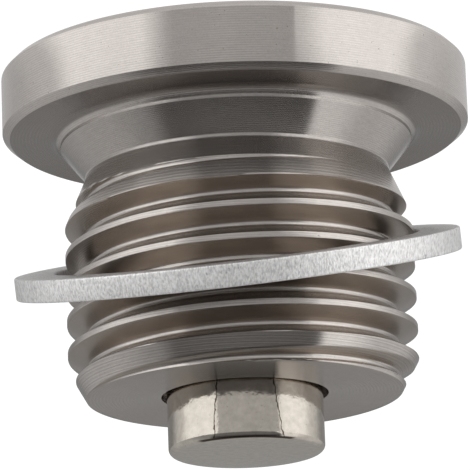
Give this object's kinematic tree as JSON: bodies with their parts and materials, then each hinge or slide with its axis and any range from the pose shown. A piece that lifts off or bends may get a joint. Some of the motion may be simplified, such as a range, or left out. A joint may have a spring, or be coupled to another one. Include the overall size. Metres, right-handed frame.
{
  "type": "magnetic oil drain plug",
  "caption": "Magnetic oil drain plug with a round collar head, a hexagon socket, a metric fine thread, a magnet in its tip and a flat crush washer",
  "frame": {"origin": "centre of the head's outer face, on the thread's axis, where the plug stands on its head", "axes": "+Z along the thread's axis from the head to the magnet, -Y towards the side that the picture shows"},
  "size_m": [0.0212, 0.0212, 0.018],
  "materials": {
    "plug_steel": "turned stainless steel with fine tool marks",
    "magnet_plating": "warm nickel plating with slight waves",
    "washer_aluminium": "matt blanked aluminium"
  },
  "bodies": {
    "root": {"plug_body": "plug_steel", "magnet": "magnet_plating", "crush_washer": "washer_aluminium"}
  },
  "joints": []
}
